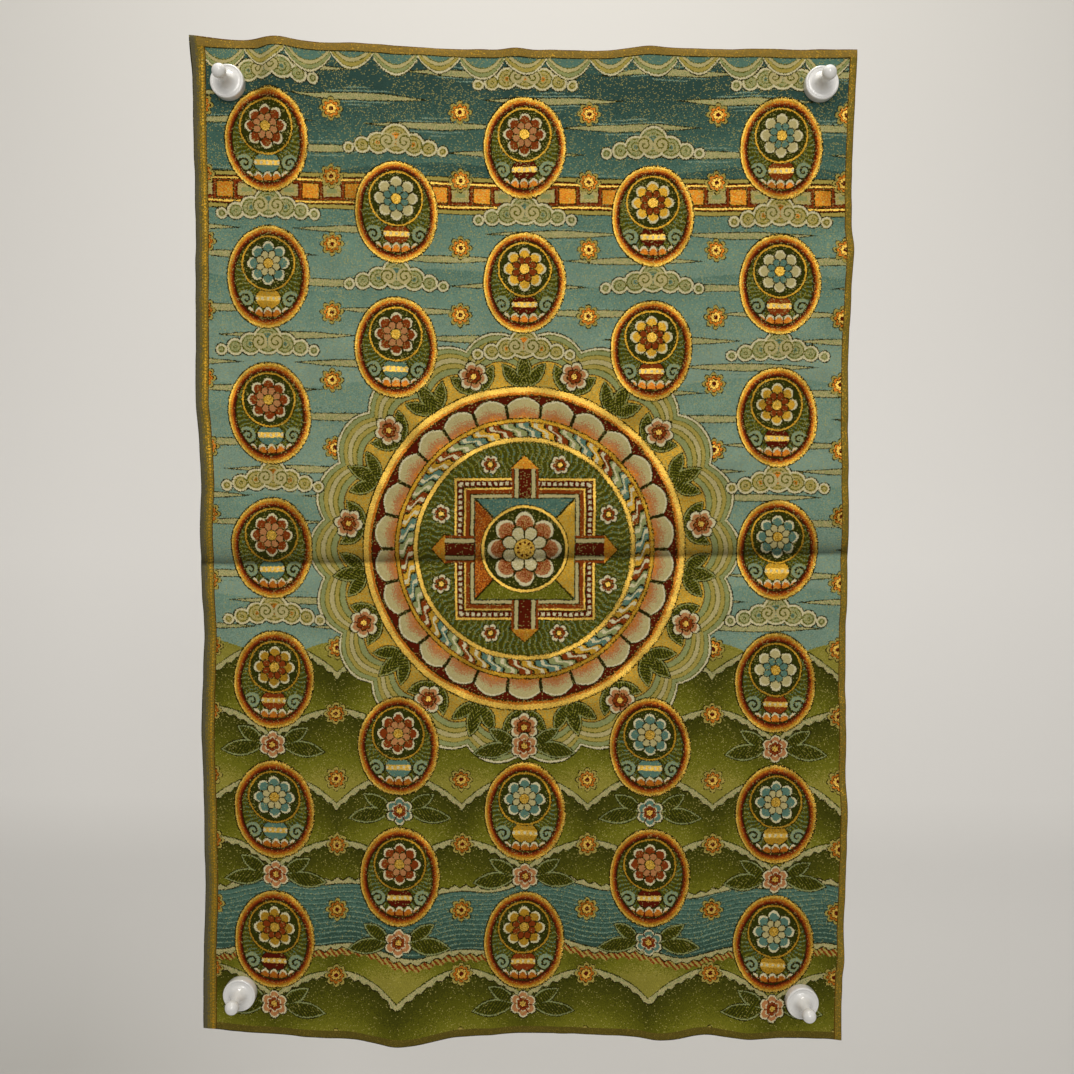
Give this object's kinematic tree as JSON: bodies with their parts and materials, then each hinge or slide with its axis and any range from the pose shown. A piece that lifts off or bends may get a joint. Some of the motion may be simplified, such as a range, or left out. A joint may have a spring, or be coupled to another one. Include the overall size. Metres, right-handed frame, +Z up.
{
  "type": "thangka wall hanging with magnetic push pins",
  "caption": "Woven brocade panel with a narrow gold border, hung on a wall by turned white magnetic push pins at its corners.",
  "frame": {"origin": "middle of the panel's top edge, on the face of the wall it hangs on", "axes": "+X to the right as seen from in front, +Y into the wall, +Z up; the woven front faces -Y"},
  "size_m": [0.601, 0.0393, 0.9158],
  "materials": {
    "woven_brocade": "jacquard weave in teal, olive, rust and gold, matt with a faint metallic glint",
    "pin_plastic": "glossy white"
  },
  "bodies": {
    "root": {"thangka_cloth": "woven_brocade", "pin_top_left": "pin_plastic", "pin_top_right": "pin_plastic", "pin_bottom_left": "pin_plastic", "pin_bottom_right": "pin_plastic"}
  },
  "joints": []
}
